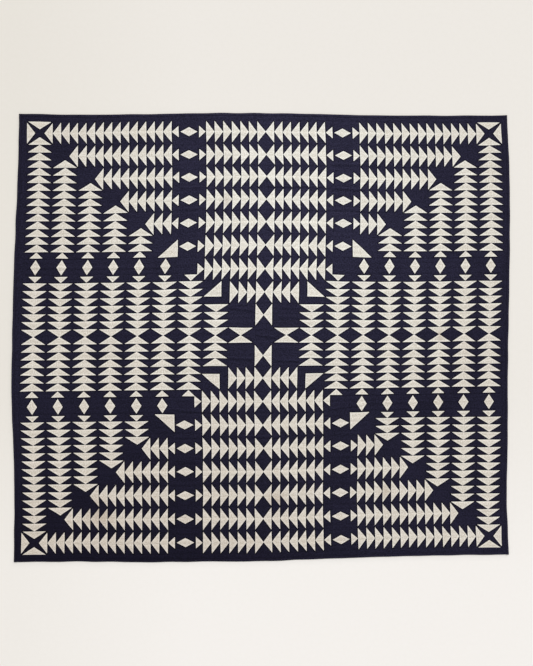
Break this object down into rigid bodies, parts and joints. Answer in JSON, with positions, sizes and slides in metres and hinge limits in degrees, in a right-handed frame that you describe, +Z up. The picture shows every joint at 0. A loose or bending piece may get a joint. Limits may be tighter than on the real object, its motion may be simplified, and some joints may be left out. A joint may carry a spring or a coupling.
{
  "type": "pieced coverlet",
  "caption": "Flat quilted bed coverlet pieced in navy and off-white cotton, with a narrow border and a folded binding.",
  "frame": {"origin": "on the surface it lies on, under the middle of the coverlet", "axes": "+X across the width, to the right of the face as seen, +Y towards the upper edge, +Z up out of the face"},
  "size_m": [2.0478, 1.8446, 0.0062],
  "materials": {
    "navy_cotton": "matt plain-weave cotton, indigo navy, slightly faded and puckered by quilting",
    "pieced_cotton": "patchwork of matt plain-weave cotton, navy [0.149, 0.145, 0.212] and off-white [0.878, 0.851, 0.808], with a few faint age stains",
    "binding_cotton": "folded navy cotton binding, matt, a little worn along its outer fold"
  },
  "bodies": {
    "root": {"arm_panel_top": "pieced_cotton", "arm_panel_bottom": "pieced_cotton", "arm_panel_left": "pieced_cotton", "arm_panel_right": "pieced_cotton", "centre_panel": "pieced_cotton", "corner_panel_top_left": "pieced_cotton", "corner_panel_top_right": "pieced_cotton", "corner_panel_bottom_left": "pieced_cotton", "corner_panel_bottom_right": "pieced_cotton", "upright_sash_top_left": "navy_cotton", "upright_sash_top_right": "navy_cotton", "upright_sash_bottom_left": "navy_cotton", "upright_sash_bottom_right": "navy_cotton", "level_sash_top_left": "navy_cotton", "level_sash_top_right": "navy_cotton", "level_sash_bottom_left": "navy_cotton", "level_sash_bottom_right": "navy_cotton", "sash_square_top_left": "navy_cotton", "sash_square_top_right": "navy_cotton", "sash_square_bottom_left": "navy_cotton", "sash_square_bottom_right": "navy_cotton", "border_left": "navy_cotton", "border_right": "navy_cotton", "border_top": "navy_cotton", "border_bottom": "navy_cotton", "binding_left": "binding_cotton", "binding_right": "binding_cotton", "binding_top": "binding_cotton", "binding_bottom": "binding_cotton"}
  },
  "joints": []
}
